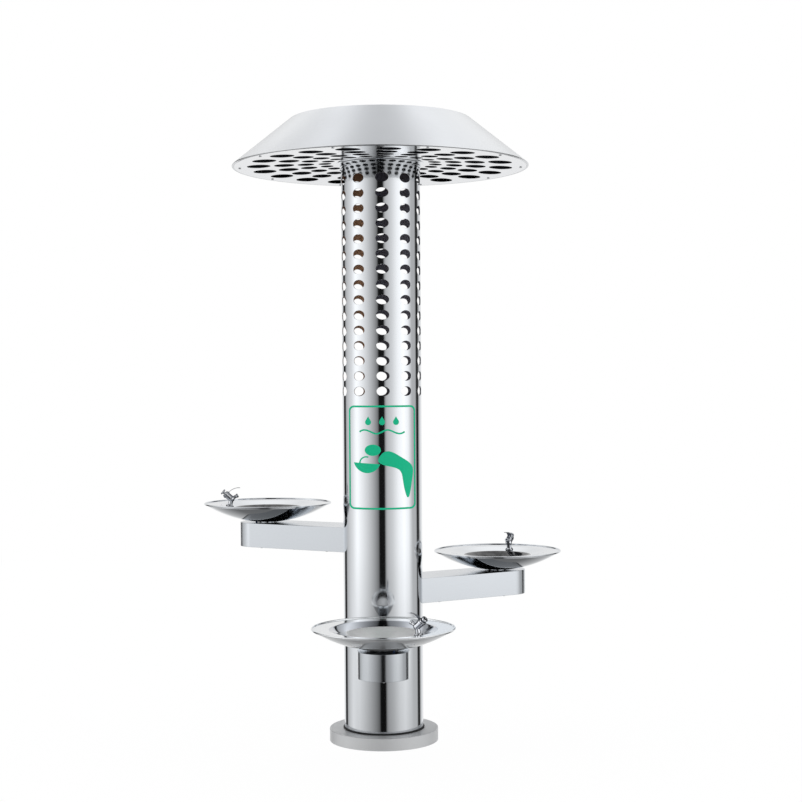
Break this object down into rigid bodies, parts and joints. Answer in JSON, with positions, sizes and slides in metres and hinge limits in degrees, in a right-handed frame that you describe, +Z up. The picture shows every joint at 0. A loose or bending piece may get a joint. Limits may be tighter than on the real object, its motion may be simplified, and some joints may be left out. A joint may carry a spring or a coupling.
{
  "type": "drinking fountain",
  "caption": "Outdoor drinking fountain: round basins with push-button bubblers on side arms, at stepped heights on a perforated steel column under a wide conical cap.",
  "frame": {"origin": "centre of the column's foot, on the ground", "axes": "+Z up along the column, -Y towards the front arm, +X to a front viewer's right"},
  "size_m": [1.414, 1.3385, 2.363],
  "materials": {
    "polished_steel": "mirror-polished stainless steel",
    "satin_steel": "satin-brushed stainless steel",
    "plain_steel": "mill-finish stainless steel",
    "fastener_steel": "bright stainless fasteners",
    "chrome": "chrome-plated brass, mirror bright",
    "spring_steel": "drawn spring wire",
    "black_rubber": "black rubber, matt",
    "brass": "machined brass",
    "grey_plastic": "grey drain pipe",
    "blue_hose": "blue drinking-water tube",
    "red_paint": "red dipped lever",
    "green_film": "green printed film"
  },
  "bodies": {
    "fountain": {"anchor_flange": "plain_steel", "arm_backing_plates": "plain_steel", "arm_bolts": "fastener_steel", "arm_cover_screws": "fastener_steel", "base_cover": "satin_steel", "base_gasket": "black_rubber", "basin_spacers": "grey_plastic", "bubbler_gaskets": "black_rubber", "bubbler_locknuts": "brass", "cap_bolts": "fastener_steel", "cap_collar": "polished_steel", "cap_frame": "plain_steel", "cap_shell": "satin_steel", "cap_soffit": "polished_steel", "column_tube": "polished_steel", "door_hinges": "fastener_steel", "drain_branches": "grey_plastic", "drain_nuts": "brass", "drain_stack": "grey_plastic", "drain_strainers": "polished_steel", "front_arm": "satin_steel", "front_arm_cover": "satin_steel", "front_basin_pan": "polished_steel", "front_basin_shell": "polished_steel", "front_bubbler_body": "chrome", "front_button_spring": "spring_steel", "front_drain_tail": "polished_steel", "front_mouth_guard": "chrome", "front_supply_hose": "blue_hose", "inlet_pipe": "plain_steel", "left_arm": "satin_steel", "left_arm_cover": "satin_steel", "left_basin_pan": "polished_steel", "left_basin_shell": "polished_steel", "left_bubbler_body": "chrome", "left_button_spring": "spring_steel", "left_drain_tail": "polished_steel", "left_mouth_guard": "chrome", "left_supply_hose": "blue_hose", "right_arm": "satin_steel", "right_arm_cover": "satin_steel", "right_basin_pan": "polished_steel", "right_basin_shell": "polished_steel", "right_bubbler_body": "chrome", "right_button_spring": "spring_steel", "right_drain_tail": "polished_steel", "right_mouth_guard": "chrome", "right_supply_hose": "blue_hose", "sign_decal": "green_film", "soffit_screws": "fastener_steel", "supply_riser": "plain_steel", "valve_body": "brass"},
    "left_push_button": {"left_push_button": "chrome"},
    "right_push_button": {"right_push_button": "chrome"},
    "front_push_button": {"front_push_button": "chrome"},
    "service_door": {"service_door": "polished_steel"},
    "door_lock": {"door_lock": "fastener_steel"},
    "valve_handle": {"valve_handle": "red_paint"}
  },
  "joints": [
    {"name": "left_button_press", "type": "slide", "parent": "fountain", "child": "left_push_button", "axis": [0.7656, 0.0267, -0.6428], "range_m": [0, 0.005], "deforming": ["left_button_spring"]},
    {"name": "right_button_press", "type": "slide", "parent": "fountain", "child": "right_push_button", "axis": [-0.2993, -0.7051, -0.6428], "range_m": [0, 0.005], "deforming": ["right_button_spring"]},
    {"name": "front_button_press", "type": "slide", "parent": "fountain", "child": "front_push_button", "axis": [-0.6118, 0.461, -0.6428], "range_m": [0, 0.005], "deforming": ["front_button_spring"]},
    {"name": "door_swing", "type": "hinge", "parent": "fountain", "child": "service_door", "pos_m": [-0.08812, 0.12812, 0.285], "axis": [0, 0, 1], "range_deg": [0, 110]},
    {"name": "lock_turn", "type": "hinge", "parent": "service_door", "child": "door_lock", "pos_m": [0.06101, 0.13703, 0.285], "axis": [0.4067, 0.9135, 0], "range_deg": [0, 90]},
    {"name": "valve_turn", "type": "hinge", "parent": "fountain", "child": "valve_handle", "pos_m": [0, 0.0923, 0.25], "axis": [0, 1, 0], "range_deg": [0, 90]}
  ]
}
